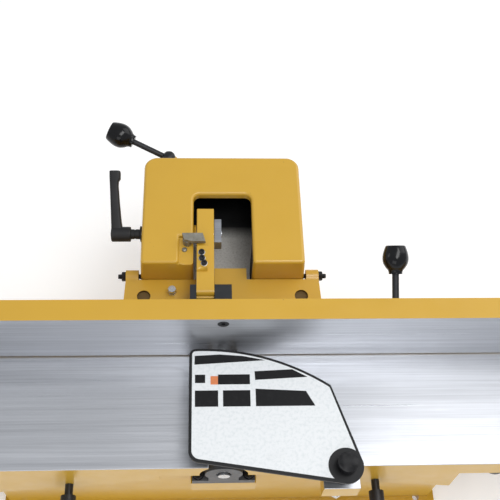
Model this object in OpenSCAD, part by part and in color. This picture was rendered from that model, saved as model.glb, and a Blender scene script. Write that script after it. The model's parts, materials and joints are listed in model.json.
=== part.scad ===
// Jointer head: the long-bed surfacing machine without its cabinet, motor and belt.
// Millimetres. Origin: centre of the base's bolt pattern, on its underside, below the cutterhead.
// +X runs to the infeed end, +Y to the back, +Z up.

/* [Base and tables] */
// Height of both table tops above the base's underside
table_z = 240; // [236:1:250]
// Width of each table
table_w = 190; // [186:1:200]
// Length over both tables
tables_len = 1676; // [1500:1:1800]
// Slope of the dovetail ways, falling away from the cutterhead
way_deg = 12; // [11:0.5:13]
// Travel of each table along its ways
table_travel = 60; // [40:1:62]
// Pitch of the table leadscrews
screw_pitch = 5; // [4:1:6]
// Spacing of the base bolts along X
bolt_dx = 640; // [620:5:650]
// Spacing of the base bolts along Y
bolt_dy = 160; // [156:1:166]

/* [Cutterhead] */
// Radius of the circle that the knife edges run on
knife_r = 32; // [31:0.5:33]
// Width of cut, which is the length of the knives
cut_w = 152; // [140:1:154]
// Radius of the cutterhead body
head_r = 30; // [29:0.5:30.5]
// Outer radius of the drive pulley
pulley_r = 24; // [22:1:28]

/* [Fence] */
// Height of the fence face above the table
fence_h = 121; // [118:1:124]
// Length of the fence
fence_len = 965; // [900:5:1000]
// Depth of the fence's top flange
flange_d = 32; // [30:1:33]
// Gap between the fence and the tables
fence_gap = 3; // [3:0.1:3.5]
// Height of the fence's tilt hinge above the tables
hinge_z = 42; // [41.5:0.25:42.5]

/* [Carriage] */
// Half width of the fence carriage
car_w = 121; // [119:1:123]
// Height of the carriage's top above the tables
car_top = 100; // [99:1:101]
// Distance of the carriage's front faces behind the fence face
car_y0 = 103.2; // [103:0.1:104]
// Distance of the carriage's rear face behind the fence face
car_y1 = 297; // [294:1:300]
// Half width of the U-shaped opening
open_w = 44; // [43:0.5:45]
// Distance of the opening's rear edge behind the fence face
open_y = 226; // [223:1:228]
// Forward travel of the carriage
fence_travel = 115; // [90:1:118]

/* [Hidden] */

$fn = 64;
eps = 0.01;
fit = 0.05;      // radial running clearance of a shaft in its hole

// Fence group: fence face at rest is in line with the rear end of the knives.
fence_y = cut_w / 2;
// Cutterhead axis: the knife circle touches the table height.
head_z = table_z - knife_r;
lip_x = 22;                       // half gap between the table lips
relief_r = knife_r + 3;           // relief under the lips
half_w = table_w / 2;
plate_t = 18;                     // table plate
rim_h = 44;                       // table rim
lip_under = table_z - 36;         // underside of the rim beside the cutterhead

// Ways: the rail starts here, on each side of the cutterhead.
way_x = 75;
way_z = table_z - 50;
rail_len = 265;
rail_h = 20;
rail_half = 50;                   // half width at the rail's foot
rail_flare = 10;                  // how much the dovetail widens to its top
gib_t = 8;
saddle_x0 = 92;
saddle_x1 = 345;

// Base
base_half = 78;
base_len = 340;
wall = 12;
foot_h = 14;
hump_z = 165;                     // pads of the bearing blocks

// Leadscrew, below the ways and parallel to them
screw_w = -28;
screw_r = 9;
wheel_u = 385;                    // handwheel's place along the ways
wheel_r = 62;

// Tilt mechanism, in the fence frame: Y back from the fence face, Z up from the tables
plate_y = 10;                     // fence plate
hinge_y = 12;
knuckle_r = 8;
knuckle_gap = 0.4;
pin_y = 58;                       // link arm's pin
pin_z = 60;
shaft_y = 165;                    // clamp shaft
shaft_z = 80;
shaft_r = 6;
tilt_max = 45;
arm_ratio = -0.34;                // turn of the arm for a turn of the fence
nose_y = pin_y + 1;               // centre of that rounding
nose_swing = 42;                  // radius that it sweeps about the pin
arm_x0 = -38.9;
arm_x1 = -13.3;
arm_top = 101;
arm_bot = 60;
nose_r = 8;                       // rounding of the arm's front top edge
pivot_y = 111;                    // bracket's pivot screws
pivot_z = 45;
web_top = 51;
web_bot = 14;
web_front = 32;
notch_x0 = -49;
notch_x1 = 12.7;
notch_y = 93;
ear_x0 = 127;
ear_x1 = 146;

// Carriage details
stud_x = -85;
stud_y = 318;
ledge_z = 94;
leg_wall_y = 146;                 // rear end of the legs' inner walls
stop_x = -53;
stop_y = 140.5;
deck_z = fence_gap;               // top of the slide support above the tables

// Guard, in the fence frame
guard_z = 45;
guard_t = 6;
guard_gap = 9;                    // from the fence face, so that the fence tilts clear of the guard
post_x = 165;
post_r = 7;
post_y = -184;

function deg_to(a, b, n) = [for (i = [0:n]) a + (b - a) * i / n];
function arc(cx, cy, r, a0, a1, n) = [for (a = deg_to(a0, a1, n)) [cx + r * cos(a), cy + r * sin(a)]];

// Places a child in the fence frame.
module in_fence() translate([0, fence_y, table_z]) children();

// Places a child in the frame of the ways: X down the slope, Z normal to it. side is 1 or -1.
module in_way(side) {
    mirror([side < 0 ? 1 : 0, 0, 0]) translate([way_x, 0, way_z]) rotate([0, way_deg, 0]) children();
}

// Extrudes a (Y, Z) outline along X.
module along_x(x0, x1) translate([x0, 0, 0]) rotate([90, 0, 90]) linear_extrude(x1 - x0) children();

// A cylinder along X or Y.
module rod_x(x0, x1, r) translate([x0, 0, 0]) rotate([0, 90, 0]) cylinder(r = r, h = x1 - x0);
module rod_y(y0, y1, r) translate([0, y0, 0]) rotate([-90, 0, 0]) cylinder(r = r, h = y1 - y0);

// A box between two corners.
module span(a, b) translate(a) cube(b - a);

// A rectangle between two corners.
module span2(a, b) translate(a) square(b - a);

// A hexagon prism along Z, by its width across flats.
module hex(af, h) cylinder(r = af / 2 / cos(30), h = h, $fn = 6);

// ---- Base and tables ----

module rail_outline(grow = 0) {
    polygon([[-rail_half - grow, -grow - eps], [rail_half + grow, -grow - eps],
        [rail_half + rail_flare + grow, rail_h + grow], [-rail_half - rail_flare - grow, rail_h + grow]]);
}

// Everything above the way plane on one side, in the frame of the ways.
module above_way(w) span([-120, -200, w], [900, 200, 400]);

module base_casting() {
    color("goldenrod") difference() {
        union() {
            span([-base_len - 10, -half_w, 0], [base_len + 10, half_w, foot_h]);
            difference() {
                span([-base_len, -base_half, 0], [base_len, base_half, way_z + 30]);
                for (side = [-1, 1]) in_way(side) above_way(0);
                span([-way_x, -120, hump_z], [way_x, 120, 400]);
            }
            for (side = [-1, 1]) in_way(side) along_x(0, rail_len) rail_outline();
            for (s = [-1, 1]) span([-48, s > 0 ? base_half - wall : -half_w, hump_z - 35],
                [48, s > 0 ? half_w : wall - base_half, hump_z]);
        }
        // Chip chute, open from the cutterhead to the underside.
        span([-60, wall - base_half, -1], [60, base_half - wall, 400]);
        // Hollow ends under the ways.
        for (side = [-1, 1]) difference() {
            mirror([side < 0 ? 1 : 0, 0, 0])
                span([86, wall - base_half, -1], [base_len - wall, base_half - wall, 200]);
            in_way(side) above_way(-16);
        }
        for (x = [-1, 1], y = [-1, 1])
            translate([x * bolt_dx / 2, y * bolt_dy / 2 , -1]) cylinder(r = 5.5, h = foot_h + 2);
        // Seats of the leadscrew nuts in the end walls.
        for (side = [-1, 1]) in_way(side) translate([0, 0, screw_w]) rod_x(200, 300, 15);
        // Threads of the bearing bolts and of the support's bolts.
        for (x = [-37, 37], y = [-86, 86]) translate([x, y, hump_z - 25]) cylinder(r = 4, h = 40);
        for (x = [-1, 1], z = [60, 110]) translate([x * 96, 0, z]) rod_y(base_half - 16, 100, 5);
    }
}

// One table, built for the infeed side. The gib takes the front flank's place.
module table_side(side) {
    difference() {
        union() {
            difference() {
                mirror([side < 0 ? 1 : 0, 0, 0])
                    span([lip_x, -half_w, table_z - rim_h], [tables_len / 2, half_w, table_z]);
                mirror([side < 0 ? 1 : 0, 0, 0])
                    span([110, wall - half_w, 0], [tables_len / 2 - wall, half_w - wall, table_z - plate_t]);
            }
            difference() {
                mirror([side < 0 ? 1 : 0, 0, 0])
                    span([saddle_x0, -half_w, 90], [saddle_x1, half_w, table_z - 1]);
                in_way(side) span([-120, -200, -200], [900, 200, 0]);
            }
            // Cross ribs.
            for (x = [480, 610, 730]) mirror([side < 0 ? 1 : 0, 0, 0])
                span([x, -half_w + 2, table_z - rim_h], [x + 8, half_w - 2, table_z - 1]);
            // Bracket that holds the leadscrew's outer end.
            mirror([side < 0 ? 1 : 0, 0, 0]) difference() {
                span([saddle_x1 - 20 + 60, -22, 75], [saddle_x1 + 60, 22, table_z - 2]);
                span([0, -50, 0], [saddle_x1 + 38, 50, 60]);
            }
        }
        in_way(side) along_x(-100, 292) union() {
            rail_outline(fit);
            polygon([[-rail_half - gib_t - 1, -1], [0, -1], [0, rail_h + 0.5],
                [-rail_half - rail_flare - gib_t - 1, rail_h + 0.5]]);
        }
        // Relief round the cutterhead, and room above the base when the table is at its lowest.
        translate([0, 0, head_z]) rod_y(-200, 200, relief_r);
        mirror([side < 0 ? 1 : 0, 0, 0]) span([0, -200, 0], [saddle_x0, 200, lip_under]);
        in_way(side) translate([0, 0, screw_w]) rod_x(300, 420, screw_r + fit);
        // Thread of the lock screw.
        in_way(side) translate([150, 0, rail_h / 2 + 2]) rod_y(-110, -60, 6 + fit);
    }
}

module infeed_table() {
    // The front edge has a rabbeting ledge beside the cutterhead.
    color("lightsteelblue") difference() {
        union() {
            table_side(1);
            span([post_x - 26, -half_w - 30, table_z - rim_h], [post_x + 26, -half_w + 1, table_z - 6]);
        }
        span([0, -half_w - 1, table_z - 6], [120, wall - half_w, table_z + 1]);
        translate([post_x, post_y + fence_y, table_z - rim_h - 1]) cylinder(r = post_r + fit, h = rim_h + 2);
    }
}

module outfeed_table() { color("lightsteelblue") table_side(-1); }

module gib_bar(side) {
    color("dimgray") in_way(side) along_x(saddle_x0 - way_x + 8, saddle_x1 - way_x)
        polygon([[-rail_half - fit * 2, 0.1], [-rail_half - gib_t, 0.1],
            [-rail_half - rail_flare - gib_t, rail_h - 0.2],
            [-rail_half - rail_flare - fit * 2, rail_h - 0.2]]);
}
module infeed_gib() { gib_bar(1); }
module outfeed_gib() { gib_bar(-1); }

module screw_side(side) {
    color("silver") in_way(side) translate([0, 0, screw_w]) {
        rod_x(175, wheel_u - 13, screw_r);
        rod_x(wheel_u - 13, wheel_u + 14, 7);
    }
}
module infeed_screw() { screw_side(1); }
module outfeed_screw() { screw_side(-1); }

module handwheel_side(side) {
    color("dimgray") in_way(side) translate([wheel_u, 0, screw_w]) rotate([0, 90, 0]) difference() {
        union() {
            rotate_extrude($fn = 96) translate([wheel_r - 7, 0]) circle(r = 7);
            cylinder(r = 16, h = 26, center = true);
            for (a = [90, 210, 330]) rotate([0, 0, a]) rod_x(8, wheel_r - 6, 5);
        }
        cylinder(r = 7, h = 60, center = true);
    }
}
module infeed_handwheel() { handwheel_side(1); }
module outfeed_handwheel() { handwheel_side(-1); }

module wheel_grip(side) {
    color("black") in_way(side) translate([wheel_u, 0, screw_w]) rotate([0, 90, 0])
        rotate([0, 0, 210]) translate([wheel_r - 7, 0, 7]) {
            cylinder(r = 5, h = 8);
            translate([0, 0, 8]) cylinder(r1 = 9, r2 = 12, h = 34);
            translate([0, 0, 42]) cylinder(r1 = 12, r2 = 8, h = 6);
        }
}
module handwheel_grip_in() { wheel_grip(1); }
module handwheel_grip_out() { wheel_grip(-1); }

module leadscrew_nuts() {
    color("darkgoldenrod") for (side = [-1, 1]) in_way(side) translate([0, 0, screw_w]) difference() {
        rod_x(252, 292, 15);
        rod_x(240, 300, screw_r + fit);
    }
}

// A lock screw with its bar handle, which presses on the gib.
module lock_side(side) {
    color("black") in_way(side) translate([150, 0, rail_h / 2 + 2]) {
        rod_y(-120, -rail_half - rail_flare - gib_t - 0.5, 6);
        rod_y(-142, -112, 11);
        translate([0, -132, 0]) rotate([0, 60, 0]) rod_x(0, 74, 5);
        translate([0, -132, 0]) rotate([0, 60, 0]) rod_x(70, 96, 9);
    }
}
module infeed_lock() { lock_side(1); }
module outfeed_lock() { lock_side(-1); }

// ---- Cutterhead ----

module at_head() translate([0, 0, head_z]) children();

module knife_slot(a) rotate([0, a, 0]) children();

module cutterhead_body() {
    color("silver") at_head() difference() {
        union() {
            rod_y(-cut_w / 2, cut_w / 2, head_r);
            rod_y(-cut_w / 2 - 22, cut_w / 2 + 48, 8.5);
            rod_y(-cut_w / 2 - 2.5, cut_w / 2 + 2.5, 12);
        }
        for (a = [30, 150, 270]) knife_slot(a)
            span([-8, -cut_w / 2 - 1, 11], [8, cut_w / 2 + 1, 60]);
    }
}

module knives() {
    color("gainsboro") at_head() for (a = [30, 150, 270]) knife_slot(a)
        span([-8, -cut_w / 2, 12], [-5, cut_w / 2, knife_r - 0.98]);
}

module knife_gibs() {
    color("gray") at_head() for (a = [30, 150, 270]) knife_slot(a) difference() {
        span([-5, -cut_w / 2, 12], [8, cut_w / 2, 26]);
        for (y = [-60, -20, 20, 60]) translate([0, y, 18]) rod_x(0, 20, 3);
    }
}

module gib_screws() {
    color("black") at_head() for (a = [30, 150, 270], y = [-60, -20, 20, 60]) knife_slot(a)
        translate([0, y, 18]) rod_x(0.2, 8, 3);
}

bear_y0 = cut_w / 2 + 3;
bear_y1 = half_w;

module bearing_blocks() {
    color("slategray") for (s = [0, 1]) mirror([0, s, 0]) difference() {
        union() {
            at_head() rod_y(bear_y0, bear_y1, 27);
            span([-46, bear_y0, hump_z], [46, bear_y1, hump_z + 13]);
            span([-22, bear_y0, hump_z], [22, bear_y1, head_z]);
        }
        at_head() rod_y(bear_y0 + 2, bear_y1 - 2, 20);
        at_head() rod_y(0, 200, 11);
        for (x = [-37, 37]) translate([x, 86, hump_z - 1]) cylinder(r = 4.2, h = 40);
    }
}

module ball_bearings() {
    color("silver") at_head() for (s = [0, 1]) mirror([0, s, 0]) difference() {
        rod_y(bear_y0 + 2, bear_y0 + 14, 20);
        rod_y(0, 200, 8.5 + fit);
    }
}

module bearing_bolts() {
    color("dimgray") for (x = [-37, 37], y = [-86, 86]) translate([x, y, hump_z]) {
        translate([0, 0, -22]) cylinder(r = 4, h = 35 + eps);
        translate([0, 0, 13]) hex(13, 5.5);
    }
}

module drive_pulley() {
    color("dimgray") at_head() difference() {
        rod_y(bear_y1 + 3, bear_y1 + 27, pulley_r);
        rod_y(0, 200, 8.5);
        for (i = [0:4]) translate([0, bear_y1 + 7.5 + i * 3.6, 0]) rotate([-90, 0, 0])
            rotate_extrude() polygon([[pulley_r - 2.4, 0.6], [pulley_r + 1, -0.9], [pulley_r + 1, 2.1]]);
    }
}

// ---- Guard ----

// The guard's outline: a shallow arc along the fence, round the post, and back. inset shrinks it.
module guard_outline(inset = 0) {
    polygon(concat(
        arc(-31.4, -320.6 - guard_gap, 320.6 - inset, 55, 91, 36),
        arc(-40, -9.7 - guard_gap, 9.5 - inset, 100, 180, 8),
        arc(-33, -160, 16.5 - inset, 180, 262, 10),
        arc(post_x, post_y, 24 - inset, -100, 14, 18)));
}

module guard_plate() {
    color("black") in_fence() difference() {
        union() {
            translate([0, 0, guard_z - guard_t]) linear_extrude(guard_t) guard_outline();
            translate([post_x, post_y, -5.5]) cylinder(r = 12, h = guard_z - guard_t + 6);
            span([-40, -150, guard_z - guard_t - 6], [150, -144, guard_z - guard_t + 1]);
            span([-34, -145, guard_z - guard_t - 6], [-28, -38, guard_z - guard_t + 1]);
        }
        translate([post_x, post_y, -20]) cylinder(r = post_r + fit, h = 80);
    }
}

module guard_label() {
    color("white") in_fence() translate([0, 0, guard_z]) linear_extrude(0.6) difference() {
        guard_outline(4.2);
        translate([post_x, post_y]) circle(r = 25);
    }
}

module guard_post() {
    color("silver") in_fence() {
        translate([post_x, post_y, -rim_h - 22]) cylinder(r = post_r, h = rim_h + guard_z + 30);
        translate([post_x, post_y, -rim_h - 32]) hex(22, 12);
    }
}

// A closed tube round a helix: coil radius, wire radius, height and turns.
module coil(r, w, h, turns) {
    sides = 8;
    rings = turns * 20;
    pts = [for (i = [0:rings]) let (a = 360 * turns * i / rings, z = h * i / rings) for (j = [0:sides - 1])
        let (b = 360 * j / sides, q = r + w * cos(b)) [q * cos(a), q * sin(a), z + w * sin(b)]];
    walls = [for (i = [0:rings - 1], j = [0:sides - 1]) let (k = (j + 1) % sides)
        [i * sides + j, i * sides + k, (i + 1) * sides + k, (i + 1) * sides + j]];
    first_end = [for (j = [sides - 1:-1:0]) j];
    last_end = [for (j = [0:sides - 1]) rings * sides + j];
    polyhedron(pts, concat(walls, [first_end, last_end]));
}

// Torsion spring that closes the guard, wound round the post below its bracket.
module guard_spring() {
    color("silver") in_fence() translate([post_x, post_y, -rim_h - 17.5]) coil(9.4, 1.1, 14.5, 5);
}

module guard_knob() {
    color("black") in_fence() translate([post_x, post_y, guard_z + 0.6]) difference() {
        union() {
            cylinder(r = 11, h = 5);
            translate([0, 0, 5]) cylinder(r = 14, h = 12);
        }
        translate([0, 0, -1]) cylinder(r = post_r, h = 8.4);
    }
}

// ---- Fence carriage ----

slot_y0 = stud_y - fence_travel - 7;
key_y0 = fence_travel + half_w - fence_y + 1;   // stays behind the tables

module slide_support() {
    color("goldenrod") in_fence() difference() {
        union() {
            span([-112, 88, deck_z - 20], [112, 345, deck_z]);
            for (s = [-1, 1]) {
                along_x(s > 0 ? 50 : -64, s > 0 ? 64 : -50) polygon([[14, -200], [14, -64], [22, -64],
                    [22, deck_z - 1], [200, deck_z - 1], [340, deck_z - 19], [120, -90], [40, -200]]);
                span([s > 0 ? 50 : -114, 2, -200], [s > 0 ? 114 : -50, 16, -110]);
            }
        }
        // Slot for the lock stud, and groove for the key.
        span([stud_x - 6.5, slot_y0, -60], [stud_x + 6.5, stud_y + 7, 50]);
        span([78, 60, deck_z - 6], [98, 400, deck_z + 9]);
        for (x = [-96, 96], z = [60, 110]) translate([x, 0, z - table_z]) rod_y(-10, 40, 5.5);
    }
}

module support_bolts() {
    color("dimgray") for (x = [-96, 96], z = [60, 110]) translate([x, 0, z]) {
        rod_y(base_half - 14, base_half + 14 + eps, 5);
        translate([0, base_half + 14, 0]) rotate([-90, 0, 0]) hex(17, 7);
    }
}

module slide_key() {
    color("silver") in_fence() span([78.1, key_y0, deck_z - 5.5], [97.9, car_y1 - 20, deck_z + 6]);
}

// A block whose vertical corners are round at the back and less so at the front.
module car_outline(inset = 0) {
    polygon(concat(
        arc(-car_w + 20, car_y1 - 20, 20 - inset, 180, 90, 10),
        arc(car_w - 20, car_y1 - 20, 20 - inset, 90, 0, 10),
        [[car_w - inset, car_y0 + inset], [-car_w + inset, car_y0 + inset]]));
}

module open_outline(grow = 0) {
    polygon(concat([[-open_w - grow, -50], [open_w + grow, -50]],
        arc(open_w - 10, open_y - 10, 10 + grow, 0, 90, 8),
        arc(-open_w + 10, open_y - 10, 10 + grow, 90, 180, 8)));
}

module carriage() {
    color("goldenrod") in_fence() difference() {
        union() {
            difference() {
                union() {
                    difference() {
                        translate([0, 0, deck_z]) linear_extrude(car_top - deck_z) car_outline();
                        translate([0, 0, deck_z - 1]) linear_extrude(car_top - deck_z - wall + 1)
                            difference() {
                                car_outline(10);
                                // The legs have inner walls; behind them the hood is open.
                                intersection() {
                                    open_outline(10);
                                    span2([-200, 0], [200, leg_wall_y]);
                                }
                            }
                    }
                    // Bosses of the lock stud and the pivot screws, and the rail over the key.
                    translate([stud_x, stud_y, deck_z]) cylinder(r = 16, h = 55);
                    span([stud_x - 16, car_y1 - 12, deck_z], [stud_x + 16, stud_y, deck_z + 55]);
                    for (s = [-1, 1]) translate([0, pivot_y, pivot_z])
                        rod_x(s > 0 ? car_w - 22 : -car_w + 1, s > 0 ? car_w - 1 : -car_w + 22, 7.5);
                    span([78, key_y0, deck_z + 6], [98, car_y1 - 12, car_top - wall + 1]);
                }
                translate([0, 0, -50]) linear_extrude(300) open_outline();
                // Ledge for the flip stop on the left leg.
                span([-65, car_y0 - 5, ledge_z], [-open_w + 1, 150, car_top + 5]);
            }
            // Boss that the clamp shaft pulls the link arm against.
            translate([0, shaft_y, shaft_z]) rod_x(-car_w + 1, arm_x0 - 0.7, 14);
        }
        translate([stop_x, stop_y, ledge_z - 20]) cylinder(r = 5, h = 40);
        translate([-57, 128.9, ledge_z - 12]) cylinder(r = 2.5, h = 40);
        translate([0, shaft_y, shaft_z]) rod_x(-200, 0, shaft_r + fit);
        translate([stud_x, stud_y, -20]) cylinder(r = 6 + fit, h = 200);
        for (s = [-1, 1]) translate([0, pivot_y, pivot_z])
            rod_x(s > 0 ? car_w - 12 : -car_w - 1, s > 0 ? car_w + 1 : -car_w + 12, 4);
    }
}

// Bracket between the carriage and the fence, with the ears of its pivot screws.
module pivot_bracket() {
    color("goldenrod") in_fence() difference() {
        union() {
            along_x(-ear_x1, ear_x1) polygon([[web_front, web_top], [web_front, web_bot + 10],
                [web_front + 10, web_bot], [car_y0 - 0.8, web_bot], [car_y0 - 0.8, web_top]]);
            span([-36.4, car_y0 - 2, web_bot], [36.4, 121.7, web_top]);
            for (s = [-1, 1]) {
                // The web grows wider toward the fence.
                translate([0, 0, web_bot + 10]) linear_extrude(web_top - web_bot - 10)
                    polygon([[s * (ear_x1 - 2), web_front + 0.5], [s * (ear_x1 + 3.4), web_front + 0.5],
                        [s * ear_x1, car_y0 - 2], [s * (ear_x1 - 2), car_y0 - 2]]);
                along_x(s > 0 ? ear_x0 : -ear_x1, s > 0 ? ear_x1 : -ear_x0) union() {
                    translate([pivot_y, pivot_z]) circle(r = 10);
                    polygon([[42, web_bot], [pivot_y, pivot_z - 10], [pivot_y, pivot_z + 10],
                        [100, web_top]]);
                }
                along_x(s > 0 ? 91 : -111, s > 0 ? 111 : -91) union() {
                    translate([hinge_y, hinge_z]) circle(r = knuckle_r);
                    polygon([[hinge_y, hinge_z - knuckle_r], [40, web_bot + 8], [40, web_top - 1],
                        [hinge_y, hinge_z + knuckle_r]]);
                }
            }
        }
        // Notch for the fence lug, and the groove under the link arm.
        span([notch_x0, 20, -5], [notch_x1, notch_y, 60]);
        span([arm_x0 - 1.5, 60, 26], [arm_x1 + 0.8, 130, 60]);
        // Hollow underside.
        for (x = [[-120, -58], [22, 120]]) span([x[0], 42, web_bot - 1], [x[1], 94, web_top - 9]);
        // Drain pockets in the web's top.
        for (s = [-1, 1]) translate([s * 118, 74, web_top - 5]) cylinder(r = 10, h = 20);
        for (s = [-1, 1]) {
            translate([0, pivot_y, pivot_z]) rod_x(s > 0 ? 120 : -160, s > 0 ? 160 : -120, 4);
            translate([0, hinge_y, hinge_z]) rod_x(s > 0 ? 60 : -140, s > 0 ? 140 : -60, 5 + fit);
        }
        translate([-75.6, 79.6, web_bot - 1]) cylinder(r = 3.5, h = 60);
    }
}

module pivot_screws() {
    color("black") in_fence() for (s = [-1, 1])
        translate([0, pivot_y, pivot_z]) rod_x(s > 0 ? 110 : -158, s > 0 ? 158 : -110, 4);
}

module jam_nuts() {
    color("black") in_fence() for (s = [-1, 1]) translate([s * (ear_x1 + 3.25), pivot_y, pivot_z])
        rotate([0, 90, 0]) difference() {
            translate([0, 0, -3.25]) hex(13, 6.5);
            cylinder(r = 4, h = 20, center = true);
        }
}

module hinge_pins() {
    color("silver") in_fence() for (s = [-1, 1])
        translate([0, hinge_y, hinge_z]) rod_x(s > 0 ? 70 : -132, s > 0 ? 132 : -70, 5);
}

fence_x0 = -fence_len / 2 + 40;
fence_x1 = fence_len / 2 + 40;
screw_z = fence_h - 15.5;
fence_rod_x = 244;
fence_rod_tilt = 30;

// The frame of the fence's handle rod: Z along the rod.
module in_rod() translate([fence_rod_x, flange_d, fence_h - 6])
    rotate([fence_rod_tilt - 90, 0, 0]) children();

module fence() {
    color("goldenrod") in_fence() difference() {
        union() {
            span([fence_x0, 0, fence_gap], [fence_x1, plate_y, fence_h]);
            span([fence_x0, 0, fence_h - 10], [fence_x1, flange_d, fence_h]);
            // Ribs behind the plate.
            for (x = [fence_x0, -300, -190, 190, 350, fence_x1 - 9]) translate([x, 0, 0]) along_x(0, 9)
                polygon([[1, fence_gap + 2], [plate_y + 5, fence_gap + 2], [flange_d, fence_h - 12],
                    [flange_d, fence_h - 2], [1, fence_h - 2]]);
            // Knuckles on both sides of the bracket's.
            for (s = [-1, 1], x = [[71, 90.4], [111.6, 131]])
                along_x(s > 0 ? x[0] : -x[1], s > 0 ? x[1] : -x[0]) union() {
                    translate([hinge_y, hinge_z]) circle(r = knuckle_r);
                    span2([2, hinge_z - knuckle_r], [hinge_y, hinge_z + knuckle_r]);
                }
            in_rod() translate([0, 0, -22]) cylinder(r = 7, h = 22);
        }
        // Room for the bracket's knuckles.
        for (s = [-1, 1]) {
            translate([0, hinge_y, hinge_z]) {
                rod_x(s > 0 ? 90.4 : -111.6, s > 0 ? 111.6 : -90.4, knuckle_r + knuckle_gap);
                rod_x(s > 0 ? 60 : -140, s > 0 ? 140 : -60, 5);
            }
            span([s > 0 ? 90.4 : -111.6, 5.5, -1], [s > 0 ? 111.6 : -90.4, 40, hinge_z + 14]);
        }
        translate([-1, 0, screw_z]) rod_y(-1, 60, 4);
        translate([-1, 0, screw_z]) rotate([-90, 0, 0]) cylinder(r1 = 8.8, r2 = 4, h = 4.8);
        in_rod() translate([0, 0, -18]) cylinder(r = 4.9, h = 40);
    }
}
module fence_lug() {
    color("dimgray") in_fence() difference() {
        union() {
            span([notch_x0 + 0.7, plate_y, pin_z - 9], [notch_x1 - 0.7, 67, car_top]);
            translate([0, pin_y, pin_z]) rod_x(notch_x0 + 0.7, notch_x1 - 0.7, 11);
            span([notch_x0 + 0.7, plate_y, pin_z], [notch_x1 - 0.7, 28, fence_h - 10.2]);
        }
        span([arm_x0 - 0.3, nose_y - nose_swing, 0], [arm_x1 + 0.3, 100, 200]);
        translate([0, pin_y, pin_z]) rod_x(-80, 60, 6);
        translate([-1, 0, screw_z]) rod_y(0, 40, 4);
    }
}

module lug_screw() {
    color("black") in_fence() translate([-1, 0, screw_z]) difference() {
        union() {
            rod_y(4, 26, 4);
            rotate([-90, 0, 0]) translate([0, 0, 0.3]) cylinder(r1 = 8.4, r2 = 3.9, h = 4.5);
        }
        rotate([-90, 0, 0]) cylinder(r = 2.9, h = 3, $fn = 6);
    }
}

module arm_pin() {
    color("silver") in_fence() translate([0, pin_y, pin_z]) rod_x(notch_x0 + 1, notch_x1 - 1, 6);
}

// Place of the clamp shaft seen from the arm, with the fence tilted by a.
function turn(p, a) = [p[0] * cos(a) - p[1] * sin(a), p[0] * sin(a) + p[1] * cos(a)];
function shaft_seen(a) = let (hinge = [hinge_y, hinge_z],
    pin = hinge + turn([pin_y, pin_z] - hinge, a)) turn([shaft_y, shaft_z] - pin, -arm_ratio * a);
seen = [for (a = [-tilt_max:3:tilt_max]) shaft_seen(a)];
win_y0 = min([for (p = seen) p[0]]) - shaft_r - 0.7;
win_y1 = max([for (p = seen) p[0]]) + shaft_r + 0.7;
win_z0 = min([for (p = seen) p[1]]) - shaft_r - 0.7;
win_z1 = max([for (p = seen) p[1]]) + shaft_r + 0.7;

module link_arm() {
    arm_y1 = pin_y + win_y1 + 3;
    color("goldenrod") in_fence() along_x(arm_x0, arm_x1) difference() {
        union() {
            translate([pin_y, pin_z]) circle(r = 10);
            translate([nose_y, arm_top - nose_r]) circle(r = nose_r);
            span2([pin_y - 10, pin_z], [pin_y, arm_top - nose_r]);
            span2([nose_y, arm_bot], [arm_y1, arm_top]);
        }
        translate([pin_y, pin_z]) circle(r = 6 + fit);
        translate([pin_y, pin_z]) span2([win_y0, win_z0], [win_y1, win_z1]);
    }
    color("goldenrod") in_fence() difference() {
        span([arm_x0, 88, arm_top - 1], [-23, 130, arm_top + 5]);
        for (p = stop_places) translate([p[0], p[1], arm_top - 2]) cylinder(r = 2, h = 20);
    }
}
stop_places = [[-31.5, 119], [-31, 109.5], [-28, 100.5]];

module stop_screws() {
    color("black") in_fence() for (p = stop_places) translate([p[0], p[1], arm_top + 5]) {
        translate([0, 0, -5]) cylinder(r = 2, h = 6);
        translate([0, 0, 1]) cylinder(r = 3.9, h = 5);
    }
}

module stop_washers() {
    color("silver") in_fence() for (p = stop_places) translate([p[0], p[1], arm_top + 5]) difference() {
        cylinder(r = 4.4, h = 1);
        translate([0, 0, -1]) cylinder(r = 2, h = 3);
    }
}

// Stop bolt that stands in the web.
module tilt_stop_bolt() {
    color("silver") in_fence() translate([-75.6, 79.6, 0]) {
        translate([0, 0, web_bot + 8]) cylinder(r = 3.5, h = web_top - web_bot);
        translate([0, 0, web_top]) hex(11, 5);
        translate([0, 0, web_top + 8]) hex(11, 5);
    }
}

module flip_stop() {
    color("silver") in_fence() {
        translate([0, 0, 106]) linear_extrude(6)
            polygon([[-60.5, 147.3], [-30, 147.3], [-25.8, 133], [-46, 133], [-57, 136]]);
        translate([stop_x, stop_y, ledge_z - 12]) cylinder(r = 5 - fit, h = 13);
        translate([stop_x, stop_y, ledge_z + 0.2]) cylinder(r = 6.5, h = 106 - ledge_z);
    }
}

module ledge_screw() {
    color("dimgray") in_fence() translate([-57, 128.9, ledge_z]) {
        translate([0, 0, -10]) cylinder(r = 2.5, h = 10 + eps);
        cylinder(r = 4.2, h = 2.6);
    }
}

module clamp_shaft() {
    color("silver") in_fence() translate([0, shaft_y, shaft_z]) rod_x(-146, -1, shaft_r);
}

module clamp_washer() {
    color("silver") in_fence() translate([0, shaft_y, shaft_z]) difference() {
        rod_x(-car_w - 3, -car_w - 0.2, 12.5);
        rod_x(-200, 0, shaft_r + fit);
    }
}

module clamp_block() {
    color("silver") in_fence() difference() {
        span([arm_x1 + 0.7, shaft_y - 20.5, shaft_z - 10], [-2, shaft_y + 20.5, shaft_z + 10]);
        translate([0, shaft_y, shaft_z]) rod_x(-60, 60, shaft_r + fit);
    }
}

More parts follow.
